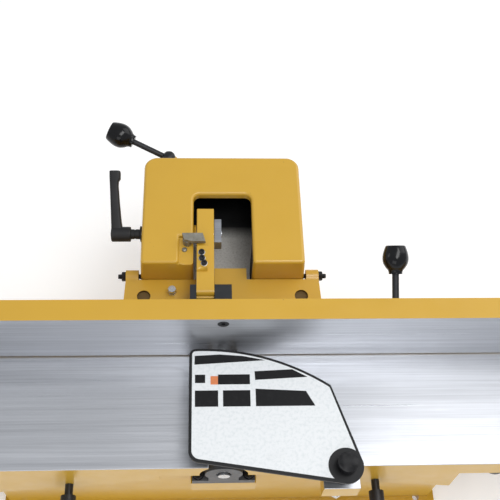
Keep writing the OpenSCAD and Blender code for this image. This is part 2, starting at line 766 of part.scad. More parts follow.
module clamp_handle() {
    color("black") in_fence() translate([0, shaft_y, shaft_z]) difference() {
        union() {
            rod_x(-168, -138.5, 11.4);
            rod_x(-139, -car_w - 3.3, 7.6);
            rotate([30, 0, 0]) {
                span([-168, 0, -9], [-154, 90, 5]);
                span([-171, 81, -9], [-154, 96.5, 6]);
            }
        }
        rod_x(-146, 0, shaft_r + fit);
    }
}

// ---- Slide lock ----

module lock_stud() {
    color("silver") in_fence() translate([stud_x, stud_y, -26]) cylinder(r = 6, h = 98);
}

module lock_plate() {
    color("dimgray") in_fence() difference() {
        span([stud_x - 16, stud_y - 16, deck_z - 30], [stud_x + 16, stud_y + 16, deck_z - 20.4]);
        translate([stud_x, stud_y, -60]) cylinder(r = 6 + fit, h = 60);
    }
}

module lever_hub() {
    color("black") in_fence() difference() {
        translate([stud_x, stud_y, deck_z + 55.4]) union() {
            cylinder(r = 10.2, h = 16);
            translate([0, 0, 16]) cylinder(r1 = 10.2, r2 = 5, h = 5);
        }
        translate([stud_x, stud_y, deck_z + 50]) cylinder(r = 6, h = 19.1);
        in_lever() translate([0, 0, 8]) cylinder(r = 4.6, h = 20);
    }
}

// The frame of the lever's rod: Z along the rod, from the hub's axis.
module in_lever() translate([stud_x, stud_y, deck_z + 64])
    rotate([0, 0, 158.5]) rotate([0, 76, 0]) children();

module lever_rod() { color("black") in_fence() in_lever() translate([0, 0, 8]) cylinder(r = 4.6, h = 66); }

// A tapered handle knob, from its neck at the origin to its flat end.
module taper_knob(size = 1) {
    rotate_extrude() polygon(size * [[0, 0], [9.5, 0], [9.5, 4], [13.5, 8], [17, 15], [17.8, 21],
        [17, 28], [14.5, 36], [13.2, 39], [0, 39]]);
}

module lever_knob() {
    color("black") in_fence() in_lever() difference() {
        translate([0, 0, 63]) taper_knob(1.1);
        cylinder(r = 4.6, h = 74);
    }
}

module fence_rod() { color("black") in_fence() in_rod() translate([0, 0, -18]) cylinder(r = 4.9, h = 65); }

module fence_knob() {
    color("black") in_fence() in_rod() difference() {
        translate([0, 0, 37]) taper_knob(1.04);
        cylinder(r = 4.9, h = 47);
    }
}

base_casting();
infeed_table();
outfeed_table();
infeed_gib();
outfeed_gib();
infeed_screw();
outfeed_screw();
infeed_handwheel();
outfeed_handwheel();
handwheel_grip_in();
handwheel_grip_out();
leadscrew_nuts();
infeed_lock();
outfeed_lock();
cutterhead_body();
knives();
knife_gibs();
gib_screws();
bearing_blocks();
ball_bearings();
bearing_bolts();
drive_pulley();
guard_plate();
guard_label();
guard_post();
guard_spring();
guard_knob();
slide_support();
support_bolts();
slide_key();
carriage();
pivot_bracket();
pivot_screws();
jam_nuts();
hinge_pins();
fence();
fence_lug();
lug_screw();
arm_pin();
link_arm();
stop_screws();
stop_washers();
tilt_stop_bolt();
flip_stop();
ledge_screw();
clamp_shaft();
clamp_washer();
clamp_block();
clamp_handle();
lock_stud();
lock_plate();
lever_hub();
lever_rod();
lever_knob();
fence_rod();
fence_knob();
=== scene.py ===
"""Looks of a jointer head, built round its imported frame.

Sizes are in millimetres and meshes in metres. Most places are given in the fence's own frame:
X along the fence, Y back from its machined face, Z up from the tables.
"""
import json
import math

import bmesh
import bpy
from mathutils import Matrix, Vector


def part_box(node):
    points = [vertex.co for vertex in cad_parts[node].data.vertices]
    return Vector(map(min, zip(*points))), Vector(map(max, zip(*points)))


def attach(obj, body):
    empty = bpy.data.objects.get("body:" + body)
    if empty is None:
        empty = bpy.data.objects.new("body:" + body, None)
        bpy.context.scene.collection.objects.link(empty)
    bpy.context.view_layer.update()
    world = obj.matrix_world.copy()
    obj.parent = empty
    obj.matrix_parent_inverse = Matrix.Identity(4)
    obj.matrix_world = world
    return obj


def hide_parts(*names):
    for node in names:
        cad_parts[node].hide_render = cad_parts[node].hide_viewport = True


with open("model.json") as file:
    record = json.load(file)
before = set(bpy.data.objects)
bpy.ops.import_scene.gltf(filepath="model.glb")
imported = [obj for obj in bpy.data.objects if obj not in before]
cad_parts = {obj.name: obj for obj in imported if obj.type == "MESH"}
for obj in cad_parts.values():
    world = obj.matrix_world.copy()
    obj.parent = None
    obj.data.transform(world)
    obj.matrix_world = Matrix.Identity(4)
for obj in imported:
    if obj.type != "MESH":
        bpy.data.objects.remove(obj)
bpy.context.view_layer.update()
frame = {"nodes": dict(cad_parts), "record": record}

MM = 0.001
RECORD = frame["record"]
BODY_OF = {node: body for body, nodes in RECORD["behaviour"]["bodies"].items() for node in nodes}
SLOT_OF = {part["node"]: part["material_slot"] for part in RECORD["subparts"]}


def low(node):
    """A CAD node's lowest corner in millimetres."""
    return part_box(node)[0] / MM


def high(node):
    """A CAD node's highest corner in millimetres."""
    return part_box(node)[1] / MM


TABLE_Z = high("outfeed_table").z
FACE_Y = low("fence").y
FENCE_FRAME = Matrix.Translation(Vector((0, FACE_Y, TABLE_Z)) * MM)


# ---- Camera, floor and light ----

EYE = (-0.0239, -0.4499, 1.4152)
LENS = 61.2


def camera():
    """A long lens that looks down on the fence carriage from above the front of the tables."""
    pitch, yaw, roll = math.radians(58.7), math.radians(5.6), math.radians(4.7)
    look = Vector((math.sin(yaw) * math.cos(pitch), math.cos(yaw) * math.cos(pitch), -math.sin(pitch)))
    right = Vector((math.cos(yaw), -math.sin(yaw), 0))
    up = right.cross(look)
    turned_right = math.cos(roll) * right + math.sin(roll) * up
    turned_up = math.cos(roll) * up - math.sin(roll) * right
    data = bpy.data.cameras.new("camera")
    data.lens = LENS
    data.sensor_width = 36
    data.clip_end = 20
    eye = bpy.data.objects.new("camera", data)
    turn = Matrix((turned_right, turned_up, -look)).transposed()
    eye.matrix_world = Matrix.Translation(EYE) @ turn.to_4x4()
    bpy.context.scene.collection.objects.link(eye)
    bpy.context.scene.camera = eye


def area_light(name, place, target, size, power):
    """A rectangular lamp at a place in metres that faces a target."""
    data = bpy.data.lights.new(name, "AREA")
    data.shape = "RECTANGLE"
    data.size, data.size_y = size
    data.energy = power
    lamp = bpy.data.objects.new(name, data)
    place = Vector(place)
    aim = (Vector(target) - place).to_track_quat("-Z", "Y")
    lamp.matrix_world = Matrix.Translation(place) @ aim.to_matrix().to_4x4()
    bpy.context.scene.collection.objects.link(lamp)


def lights():
    """A high lamp a little to the right, two weak fills, and a large card behind on the right."""
    area_light("overhead", (0.62, -0.25, 2.6), (0, 0.15, 0.3), (2.0, 0.8), 28)
    area_light("front", (-0.7, -2.2, 1.5), (0, 0.1, 0.25), (1.6, 1.2), 7)
    area_light("right_card", (2.2, 1.6, 1.9), (0.2, 0.1, 0.3), (2.4, 2.4), 22)
    area_light("left", (-2.3, 0.4, 1.3), (0, 0.1, 0.25), (0.5, 1.0), 2)
    world = bpy.data.worlds.new("studio")
    world.use_nodes = True
    sky = world.node_tree.nodes["Background"]
    sky.inputs["Color"].default_value = (0.95, 0.97, 1.0, 1)
    sky.inputs["Strength"].default_value = 0.56
    bpy.context.scene.world = world
    bpy.context.scene.view_settings.view_transform = "Standard"


def floor():
    """A wide pale floor that glows a little, so that it shows white."""
    bm = bmesh.new()
    bmesh.ops.create_grid(bm, x_segments=1, y_segments=1, size=9)
    mesh = bpy.data.meshes.new("studio_floor")
    bm.to_mesh(mesh)
    bm.free()
    sheet = bpy.data.objects.new("studio_floor", mesh)
    bpy.context.scene.collection.objects.link(sheet)
    look = Look("studio_floor", (0.86, 0.86, 0.86), roughness=0.9)
    look.shader.inputs["Emission Color"].default_value = (1, 1, 1, 1)
    look.shader.inputs["Emission Strength"].default_value = 0.27
    mesh.materials.append(look.material)


# ---- Materials ----

NOISE_ROUGHNESS = 0.55


class Look:
    """A procedural material. Places are the object's own, which are the machine's at rest."""

    def __init__(self, name, color, metallic=0.0, roughness=0.5, coat=0.0, coat_roughness=0.1, shine=0.5):
        self.material = bpy.data.materials.new(name)
        self.material.use_nodes = True
        self.material.diffuse_color = (*color, 1)
        tree = self.material.node_tree
        self.nodes, self.links = tree.nodes, tree.links
        self.shader = self.nodes["Principled BSDF"]
        self.place = self.nodes.new("ShaderNodeTexCoord").outputs["Object"]
        self.color = (*color, 1)
        self.normal = None
        for socket, value in (("Base Color", self.color), ("Metallic", metallic), ("Roughness", roughness),
                              ("Coat Weight", coat), ("Coat Roughness", coat_roughness),
                              ("Specular IOR Level", shine)):
            self.shader.inputs[socket].default_value = value

    def set(self, node, socket, value):
        """Sets a socket to a number or colour, or links it to another node's output."""
        if isinstance(value, bpy.types.NodeSocket):
            self.links.new(value, node.inputs[socket])
        else:
            node.inputs[socket].default_value = value

    def noise(self, scale, detail, stretch=(1, 1, 1)):
        """Noise with features of 1/scale metres, drawn out along an axis by a small stretch."""
        mapping = self.nodes.new("ShaderNodeMapping")
        mapping.inputs["Scale"].default_value = stretch
        self.links.new(self.place, mapping.inputs["Vector"])
        node = self.nodes.new("ShaderNodeTexNoise")
        self.links.new(mapping.outputs["Vector"], node.inputs["Vector"])
        for socket, value in (("Scale", scale), ("Detail", detail), ("Roughness", NOISE_ROUGHNESS)):
            node.inputs[socket].default_value = value
        return node.outputs["Fac"]

    def far_back(self, start, end):
        """0 in front of one place in Y and 1 behind another, in metres."""
        node = self.nodes.new("ShaderNodeSeparateXYZ")
        self.links.new(self.place, node.inputs["Vector"])
        return self.spread(node.outputs["Y"], start, end, 0, 1)

    def spots(self, scale, radius):
        """1 inside round spots, about 1/scale metres apart, and 0 between them."""
        node = self.nodes.new("ShaderNodeTexVoronoi")
        self.links.new(self.place, node.inputs["Vector"])
        node.inputs["Scale"].default_value = scale
        return self.spread(node.outputs["Distance"], radius, radius * 0.6, 0, 1)

    def spread(self, value, from_low, from_high, to_low, to_high):
        """Maps a value from one range onto another, and keeps it inside the second."""
        node = self.nodes.new("ShaderNodeMapRange")
        for socket, number in (("From Min", from_low), ("From Max", from_high), ("To Min", to_low),
                               ("To Max", to_high)):
            node.inputs[socket].default_value = number
        self.links.new(value, node.inputs["Value"])
        return node.outputs["Result"]

    def times(self, a, b):
        node = self.nodes.new("ShaderNodeMath")
        node.operation = "MULTIPLY"
        self.set(node, 0, a)
        self.set(node, 1, b)
        return node.outputs["Value"]

    def tint(self, factor, color):
        """Mixes a colour over the base colour by a factor that varies over the surface."""
        node = self.nodes.new("ShaderNodeMix")
        node.data_type = "RGBA"
        self.links.new(factor, node.inputs["Factor"])
        self.set(node, 6, self.color)
        self.set(node, 7, (*color, 1))
        self.color = node.outputs[2]
        self.links.new(self.color, self.shader.inputs["Base Color"])

    def rough(self, value, from_low, from_high, to_low, to_high):
        """Lets the roughness follow a value that varies over the surface."""
        result = self.spread(value, from_low, from_high, to_low, to_high)
        self.links.new(result, self.shader.inputs["Roughness"])

    def bump(self, height, strength, distance):
        """Adds relief of a depth in metres on top of any bump added before."""
        node = self.nodes.new("ShaderNodeBump")
        node.inputs["Strength"].default_value = strength
        node.inputs["Distance"].default_value = distance
        self.links.new(height, node.inputs["Height"])
        if self.normal:
            self.links.new(self.normal, node.inputs["Normal"])
        self.normal = node.outputs["Normal"]
        self.links.new(self.normal, self.shader.inputs["Normal"])


def yellow_enamel():
    """Thick gloss enamel over a casting: slow waves, a fine orange peel and a few dust specks."""
    look = Look("yellow_enamel", (0.62, 0.365, 0.034), roughness=0.36, coat=0.3, coat_roughness=0.14)
    look.tint(look.spread(look.noise(7, 4), 0.35, 0.7, 0, 0.5), (0.56, 0.32, 0.028))
    specks = look.times(look.spots(62, 0.045), look.spread(look.noise(19, 2), 0.5, 0.6, 0, 1))
    look.tint(look.times(specks, 0.8), (0.16, 0.085, 0.02))
    look.rough(look.noise(30, 3), 0.3, 0.7, 0.28, 0.40)
    look.bump(look.noise(26, 3), 0.25, 0.0016)
    look.bump(look.noise(330, 2), 0.10, 0.0006)
    return look.material


def ground_iron(name="ground_iron", color=(0.60, 0.615, 0.65)):
    """Cast iron ground along X: fine lines, a faint drift of tone and a light film of oil."""
    look = Look(name, color, metallic=0.86, roughness=0.36)
    along = (0.012, 1, 1)
    look.tint(look.spread(look.noise(420, 5, along), 0.36, 0.66, 0, 0.6), tuple(c * 0.72 for c in color))
    look.tint(look.spread(look.noise(95, 4, along), 0.45, 0.75, 0, 0.45), tuple(c * 1.25 for c in color))
    look.tint(look.spread(look.noise(5, 3), 0.4, 0.75, 0, 0.35), tuple(c * 0.8 for c in color))
    look.rough(look.noise(160, 4, along), 0.3, 0.7, 0.27, 0.44)
    look.bump(look.noise(700, 3, along), 0.22, 0.0003)
    return look.material


def scraped_iron_and_painted_shade():
    """The slide's bearing surface: scraped iron, bright and dusty in front, with painted shade that turns it
    black toward the back, under the hood's top.
    """
    look = Look("scraped_iron_and_painted_shade", (0.60, 0.585, 0.55), metallic=0.35, roughness=0.5)
    look.tint(look.spread(look.noise(300, 4), 0.42, 0.68, 0, 0.55), (0.40, 0.38, 0.34))
    look.tint(look.times(look.spots(330, 0.16), 0.7), (0.10, 0.085, 0.065))
    look.tint(look.spread(look.noise(34, 3), 0.5, 0.75, 0, 0.4), (0.70, 0.69, 0.66))
    # Painted shade: the surface is tinted near black behind a place in Y, where the hood's top shades it.
    look.tint(look.far_back(0.280, 0.304), (0.012, 0.012, 0.013))
    look.rough(look.noise(90, 3), 0.3, 0.7, 0.38, 0.62)
    look.bump(look.noise(520, 3), 0.2, 0.0003)
    return look.material


def raw_casting(name, color, roughness):
    """The sandy skin of an unmachined casting under thin primer."""
    look = Look(name, color, roughness=roughness)
    look.tint(look.spread(look.noise(40, 4), 0.4, 0.7, 0, 0.6), tuple(c * 0.55 for c in color))
    look.bump(look.noise(60, 4), 0.5, 0.0022)
    look.bump(look.noise(620, 3), 0.35, 0.0006)
    return look.material


def bright_metal(name, color, roughness, grain=(1, 1, 1)):
    """Turned or plated steel: a clean metal with hairlines and uneven polish."""
    look = Look(name, color, metallic=1.0, roughness=roughness)
    look.tint(look.spread(look.noise(260, 3, grain), 0.4, 0.7, 0, 0.5), tuple(c * 0.78 for c in color))
    look.rough(look.noise(120, 3, grain), 0.3, 0.7, roughness * 0.8, roughness * 1.5)
    look.bump(look.noise(900, 2, grain), 0.12, 0.0002)
    return look.material


def black_steel(name="black_oxide", color=(0.022, 0.022, 0.025)):
    """Oil-blacked steel, a little brown and dry in places."""
    look = Look(name, color, metallic=0.45, roughness=0.38)
    look.tint(look.spread(look.noise(70, 4), 0.5, 0.8, 0, 0.6), (0.05, 0.045, 0.042))
    look.rough(look.noise(110, 3), 0.3, 0.7, 0.28, 0.5)
    look.bump(look.noise(480, 3), 0.18, 0.0003)
    return look.material


def black_plastic():
    """Moulded phenolic: deep gloss with shallow sink marks and handling scuffs."""
    look = Look("black_plastic", (0.004, 0.004, 0.005), roughness=0.16, shine=0.32)
    look.tint(look.spread(look.noise(48, 4), 0.55, 0.8, 0, 0.5), (0.012, 0.012, 0.013))
    look.rough(look.noise(85, 4), 0.35, 0.75, 0.10, 0.28)
    look.bump(look.noise(55, 2), 0.12, 0.001)
    return look.material


def satin_black(name="satin_black", color=(0.012, 0.012, 0.013)):
    """Black coating with a fine pebble."""
    look = Look(name, color, roughness=0.45, shine=0.25)
    look.tint(look.spread(look.noise(24, 3), 0.5, 0.8, 0, 0.4), tuple(c * 1.9 for c in color))
    look.bump(look.noise(760, 2), 0.35, 0.0004)
    return look.material


def label_film():
    """A printed vinyl film with a faint emboss and a few rubbed spots."""
    look = Look("label_film", (0.80, 0.82, 0.83), roughness=0.42)
    look.tint(look.spread(look.noise(210, 3), 0.45, 0.7, 0, 0.7), (0.66, 0.70, 0.71))
    look.tint(look.spread(look.noise(14, 3), 0.55, 0.8, 0, 0.4), (0.62, 0.63, 0.62))
    look.bump(look.noise(640, 2), 0.2, 0.0002)
    return look.material


def label_ink(name, color):
    """Printed ink, a little glossier than the film under it."""
    look = Look(name, color, roughness=0.38, shine=0.15)
    look.tint(look.spread(look.noise(180, 3), 0.5, 0.75, 0, 0.5), tuple(c * 0.8 + 0.012 for c in color))
    look.bump(look.noise(640, 2), 0.2, 0.0002)
    return look.material


def dull_steel():
    """Bare steel gone grey and a little brown with handling."""
    look = Look("dull_steel", (0.27, 0.255, 0.21), metallic=0.75, roughness=0.5)
    look.tint(look.spread(look.noise(110, 4), 0.42, 0.7, 0, 0.7), (0.36, 0.35, 0.31))
    look.tint(look.spread(look.noise(260, 3), 0.55, 0.75, 0, 0.6), (0.15, 0.13, 0.10))
    look.rough(look.noise(130, 3), 0.3, 0.7, 0.4, 0.6)
    look.bump(look.noise(600, 3), 0.2, 0.0003)
    return look.material


PAINT = yellow_enamel()
IRON = ground_iron()
SLIDE_IRON = scraped_iron_and_painted_shade()
DULL_STEEL = dull_steel()
# A raw casting made near black: painted shade for the inside of the hood.
HOOD_INSIDE_PAINTED_SHADE = raw_casting("hood_inside_painted_shade", (0.016, 0.015, 0.014), 0.85)
FINISH = {
    "yellow_paint": PAINT,
    "machined_iron": IRON,
    "gib_steel": black_steel("dark_steel", (0.03, 0.032, 0.036)),
    "bright_steel": bright_metal("bright_steel", (0.66, 0.67, 0.69), 0.24),
    "tool_steel": bright_metal("tool_steel", (0.52, 0.53, 0.56), 0.2, (1, 0.05, 1)),
    "cast_grey": raw_casting("cast_grey", (0.085, 0.087, 0.092), 0.45),
    "bronze": bright_metal("bronze", (0.56, 0.36, 0.15), 0.3),
    "black_oxide": black_steel(),
    "black_plastic": black_plastic(),
    "guard_black": satin_black(),
    "label_white": label_film(),
}


# ---- Mesh making ----

SHARP_DEGREES = 38


def shade(mesh, sharp_degrees):
    """Smooths a mesh but for the edges that turn by more than an angle."""
    for face in mesh.polygons:
        face.use_smooth = True
    mesh.set_sharp_from_angle(angle=math.radians(sharp_degrees))


def piece(name, bm, body, materials, stands_for=(), sharp_degrees=SHARP_DEGREES):
    """Makes a shown piece from a bmesh in metres, on a body, in place of CAD nodes."""
    mesh = bpy.data.meshes.new(name)
    bmesh.ops.recalc_face_normals(bm, faces=bm.faces)
    bm.to_mesh(mesh)
    bm.free()
    for material in materials:
        mesh.materials.append(material)
    shade(mesh, sharp_degrees)
    made = bpy.data.objects.new(name, mesh)
    bpy.context.scene.collection.objects.link(made)
    even = made.modifiers.new("even_normals", "WEIGHTED_NORMAL")
    even.keep_sharp = True
    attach(made, body)
    if stands_for:
        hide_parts(*stands_for)
    return made


def node_piece(node, bm, materials=None, sharp_degrees=SHARP_DEGREES):
    """Makes the shown piece of one CAD node, in that node's finish unless told otherwise."""
    slot = SLOT_OF[node]
    finish = materials or [FINISH[slot]]
    return piece(node + "_finished", bm, BODY_OF[node], finish, [node], sharp_degrees)


def cad_mesh(node):
    """A CAD node's surface with its points welded and its flat faces merged."""
    bm = bmesh.new()
    bm.from_mesh(frame["nodes"][node].data)
    bmesh.ops.remove_doubles(bm, verts=bm.verts, dist=0.02 * MM)
    bmesh.ops.dissolve_degenerate(bm, edges=bm.edges, dist=0.01 * MM)
    bmesh.ops.dissolve_limit(bm, angle_limit=math.radians(0.7), verts=bm.verts, edges=bm.edges)
    return bm


def in_fence_frame(point):
    """A mesh point in millimetres, in the fence's frame."""
    return point / MM - Vector((0, FACE_Y, TABLE_Z))


CORNER_DEGREES = 34


def soften(bm, width, chosen=None, segments=2):
    """Rounds the corner edges that chosen picks by their middle, or all of them.

    An edge is left sharp where its neighbours are too short to give the rounding room.
    """
    picked = set()
    for edge in bm.edges:
        if edge.is_manifold and edge.calc_face_angle() > math.radians(CORNER_DEGREES):
            middle = in_fence_frame((edge.verts[0].co + edge.verts[1].co) / 2)
            if chosen is None or chosen(middle, edge):
                picked.add(edge)

    def roomy(edge):
        """Tells whether each unpicked neighbour is long enough, at one cut end or at two."""
        for end in edge.verts:
            for near in end.link_edges:
                if near not in picked:
                    shared = any(other in picked for other in near.other_vert(end).link_edges)
                    if near.calc_length() < width * MM * (2.1 if shared else 1.05):
                        return False
        return True

    edges = [edge for edge in picked if roomy(edge)]
    if edges:
        bmesh.ops.bevel(bm, geom=edges, offset=width * MM, offset_type="OFFSET", segments=segments,
                        profile=0.5, affect="EDGES", clamp_overlap=True, loop_slide=False)


def softened(node, width, materials=None):
    """Makes the piece of a node that only needs its corners rounded."""
    bm = cad_mesh(node)
    if width:
        soften(bm, width)
    node_piece(node, bm, materials)


def paint_faces(made, index, test):
    """Gives the faces that test picks, by middle and normal in the fence's frame, another material."""
    for face in made.data.polygons:
        if test(in_fence_frame(face.center), face.normal):
            face.material_index = index


def ring_solid(bm, rings, place, segments=48):
    """Adds a solid of rings about Z. A ring is (radius or function of the angle in degrees, height)."""
    loops = []
    for radius, z in rings:
        loop = []
        for i in range(segments):
            angle = 360 * i / segments
            r = radius(angle) if callable(radius) else radius
            turn = math.radians(angle)
            loop.append(bm.verts.new(place @ (Vector((r * math.cos(turn), r * math.sin(turn), z)) * MM)))
        loops.append(loop)
    for first, second in zip(loops, loops[1:]):
        for i in range(segments):
            k = (i + 1) % segments
            bm.faces.new((first[i], first[k], second[k], second[i]))
    bm.faces.new(list(reversed(loops[0])))
    bm.faces.new(loops[-1])


def hexagon(flats):
    """Radius of a hexagon at an angle, by its width across flats."""
    return lambda angle: flats / 2 / math.cos(math.radians((angle + 30) % 60 - 30))


def hex_rings(flats, z0, z1, both_ends=True):
    """Rings of a hexagon head or nut whose corners are chamfered."""
    side = hexagon(flats)
    cut = 0.06 * flats

    def shoulder(angle):
        return min(side(angle), flats * 0.49)

    rings = [(shoulder, z0), (side, z0 + cut)] if both_ends else [(side, z0)]
    return rings + [(side, z1 - cut), (shoulder, z1)]


def thread_rings(radius, pitch, z0, z1):
    """Close rings whose radius runs in and out by the depth of a thread, once a pitch."""
    depth = 0.55 * pitch
    turns = max(1, round((z1 - z0) / pitch))
    step = (z1 - z0) / turns
    rings = []
    for i in range(turns):
        z = z0 + i * step
        rings += [(radius - depth, z), (radius - depth, z + 0.15 * step), (radius, z + 0.45 * step),
                  (radius, z + 0.6 * step)]
    return rings + [(radius - depth, z1)]


def socket_rings(head_r, z0, z1, flats, depth, knurls):
    """Rings of a knurled screw head with a hexagon socket in its top."""
    def side(angle):
        return head_r - (0.25 if round(angle / 360 * 2 * knurls) % 2 else 0)

    well = hexagon(flats)
    rim = [(side, z0), (side, z1 - 0.6), (head_r - 0.6, z1), (lambda a: well(a) + 0.25, z1)]
    return rim + [(well, z1 - 0.3), (well, z1 - depth), (0.2, z1 - depth - 0.4)]


def catmull_rom(p, q, r, s, t):
    """The value between q and r, at t from 0 to 1."""
    slope = r - p
    bend = 2 * p - 5 * q + 4 * r - s
    twist = 3 * q - p - 3 * r + s
    return 0.5 * (2 * q + slope * t + bend * t * t + twist * t ** 3)


def curve_through(points, steps=6):
    """A smooth run of points through the given ones."""
    padded = [points[0], *points, points[-1]]
    run = []
    for near in zip(padded, padded[1:], padded[2:], padded[3:]):
        for i in range(steps):
            run.append(tuple(catmull_rom(*values, i / steps) for values in zip(*near)))
    return run + [tuple(points[-1])]


def axis_frame(place, z_axis, x_hint=None):
    """A frame in metres at a place in the fence's frame, with Z along an axis and X near the hint."""
    z = Vector(z_axis).normalized()
    x = Vector(x_hint or ((0, 0, 1) if abs(z.x) > 0.9 else (1, 0, 0)))
    x = (x - z * x.dot(z)).normalized()
    turn = Matrix((x, z.cross(x), z)).transposed().to_4x4()
    return FENCE_FRAME @ Matrix.Translation(Vector(place) * MM) @ turn


# ---- Castings ----

# The hood: its top and foot, its front, back and half width, and its walls.
CAR_TOP, CAR_FOOT = 100, 3
CAR_Y0, CAR_Y1, CAR_HALF = 103.2, 297, 121
SIDE_HEIGHT = CAR_TOP - CAR_FOOT
WALL = 12
# Half the width of its opening, the top of its ledge, and how far its sides lean out at the foot.
OPEN_HALF = 44
LEDGE_TOP = 94
DRAFT = 4.7
# The clamp shaft's axis, which runs along X.
SHAFT_Y, SHAFT_Z = 165, 80


def carriage():
    """The hood: a broad fillet round its top, a rolled lip on the opening, and raw iron inside painted near
    black as the shade under the top.
    """
    bm = cad_mesh("carriage")

    def upright(edge):
        return abs(edge.verts[0].co.z - edge.verts[1].co.z) > 5.5 * MM

    def outer_edge(p, edge):
        front_corner = upright(edge) and p.y < CAR_Y0 + 1 and abs(p.x) > OPEN_HALF - 1
        level = abs(edge.verts[0].co.z - edge.verts[1].co.z) < 0.01 * MM
        return edge.is_convex and (front_corner or (level and p.z > CAR_TOP - 0.05))

    def lip_edge(p, edge):
        return edge.is_convex and abs(p.z - CAR_TOP + WALL) < 0.1 and abs(p.x) < OPEN_HALF - 12 and p.y > 200

    def ledge_edge(p, edge):
        return edge.is_convex and abs(p.z - LEDGE_TOP) < 0.1 and -64 < p.x < -43 and p.y < 151

    def foot_edge(p, edge):
        outside = abs(p.x) > CAR_HALF - 1 or p.y < CAR_Y0 + 1
        return edge.is_convex and p.z < CAR_FOOT + 0.1 and outside

    soften(bm, 5.0, outer_edge, 5)
    soften(bm, 2.2, ledge_edge, 3)
    soften(bm, 6.4, lip_edge, 5)
    soften(bm, 2.2, foot_edge, 3)
    # The moulded sides lean out a little toward the bottom.
    for vertex in bm.verts:
        p = in_fence_frame(vertex.co)
        reach = min(max((abs(p.x) - 60) / 45, 0), 1)
        lean = DRAFT * reach * (CAR_TOP - p.z) / SIDE_HEIGHT
        vertex.co.x += math.copysign(lean * MM, p.x)
    made = node_piece("carriage", bm, [PAINT, HOOD_INSIDE_PAINTED_SHADE])

    # The faces under the hood's top take the near-black casting, as painted shade.
    def in_hood(p, normal):
        inside = abs(p.x) < CAR_HALF - 6 and CAR_Y0 + 8.5 < p.y < CAR_Y1 - 8.5 and p.z < CAR_TOP - WALL + 0.5
        leg_wall = abs(p.x) < OPEN_HALF + 0.5 and p.y < 147
        boss = p.x < -39 and math.hypot(p.y - SHAFT_Y, p.z - SHAFT_Z) < 15
        return inside and not leg_wall and not boss

    paint_faces(made, 1, in_hood)


def fence():
    """Enamel all over but for the ground face."""
    bm = cad_mesh("fence")

    def long_edge(p, edge):
        return edge.calc_length() > 60 * MM

    soften(bm, 1.0, long_edge, 3)
    made = node_piece("fence", bm, [PAINT, IRON])

    def ground(p, normal):
        face = normal.y < -0.8 and p.y < 0.6
        countersink = math.hypot(p.x + 1, p.z - 105.5) < 9 and p.y < 8
        return face or countersink

    paint_faces(made, 1, ground)


def table(node):
    """A ground top over an enamelled rim and underside."""
    bm = cad_mesh(node)
    soften(bm, 0.8, lambda p, edge: edge.calc_length() > 25 * MM)
    made = node_piece(node, bm, [IRON, PAINT])
    paint_faces(made, 1, lambda p, normal: normal.z < 0.35 or p.z < -20)


def bracket():
    """The fence bracket, the floors of its two drain pockets painted dark brown as shade."""
    bm = cad_mesh("pivot_bracket")
    soften(bm, 2.4, lambda p, edge: edge.is_convex, 4)
    pocket_painted_shade = raw_casting("pocket_floor_painted_shade", (0.15, 0.088, 0.02), 0.7)
    made = node_piece("pivot_bracket", bm, [PAINT, pocket_painted_shade])

    # Painted shade: the pocket floors take a dark brown casting.
    def pocket(p, normal):
        return math.hypot(abs(p.x) - 118, p.y - 74) < 10.2 and 45 < p.z < 50.5

    paint_faces(made, 1, pocket)


def slide_support():
    """The shelf that the carriage slides on, scraped on top."""
    bm = cad_mesh("slide_support")

    def clear_of_slots(p, edge):
        return edge.calc_length() > 12 * MM and (p.y > 89 or p.z < 2)

    soften(bm, 1.5, clear_of_slots)
    made = node_piece("slide_support", bm, [PAINT, SLIDE_IRON])
    paint_faces(made, 1, lambda p, normal: normal.z > 0.9 and p.z > 1.0)


def link_arm():
    """The arm, with its stop tab faired into it."""
    bm = cad_mesh("link_arm")
    soften(bm, 4.6, lambda p, edge: edge.is_convex and p.z > 105.9 and p.y < 89, 5)

    def outer(p, edge):
        in_window = 155 < p.y < 198 and 69 < p.z < 97
        return edge.is_convex and edge.calc_length() > 4 * MM and not in_window

    soften(bm, 1.6, outer, 4)
    node_piece("link_arm", bm)


def castings():
    """The cast parts."""
    carriage()
    fence()
    table("infeed_table")
    table("outfeed_table")
    slide_support()
    link_arm()
    bracket()
    softened("base_casting", 2.0)
    softened("bearing_blocks", 1.2)


# ---- Fasteners ----

HEX_SEGMENTS = 60


def base_bolts(bm):
    """Four hexagon bolts with washers that hold the bearing blocks."""
    shank = 22
    rings = [(4, -shank), (4, 13), (8.6, 13), (8.6, 14.4)] + hex_rings(13, 14.4, 18.5, False)
    for x in (-37, 37):
        for y in (-86, 86):
            base = Matrix.Translation(Vector((x, y, low("bearing_bolts").z + shank)) * MM)
            ring_solid(bm, rings, base, HEX_SEGMENTS)


def shelf_bolts(bm):
    """Four hexagon bolts with washers that hold the shelf to the base."""
    rings = [(5, -28), (5, 0), (10, 0), (10, 1.6)] + hex_rings(17, 1.6, 7, False)
    for x in (-96, 96):
        for z in (60, 110):
            ring_solid(bm, rings, axis_frame((x, 16, z - TABLE_Z), (0, 1, 0)), HEX_SEGMENTS)


def bracket_screws(bm):
    """Grub screws with a cone point inside and a socket outside."""
    for s in (-1, 1):
        base = axis_frame((s * 110, 111, 45), (s, 0, 0), (0, 0, 1))
        rings = [(0.5, 0), (3.2, 3)] + thread_rings(4, 1.25, 3, 46) + [(3.6, 47.6), (3.2, 48)]
        well = hexagon(4)
        ring_solid(bm, rings + [(well, 48), (well, 44), (0.2, 43.5)], base)


def bracket_nuts(bm):
    """A jam nut on each grub screw."""
    for s in (-1, 1):
        base = axis_frame((s * 146, 111, 45), (s, 0, 0), (0, 0.26, 0.97))
        ring_solid(bm, hex_rings(13, 0, 6.5), base, HEX_SEGMENTS)


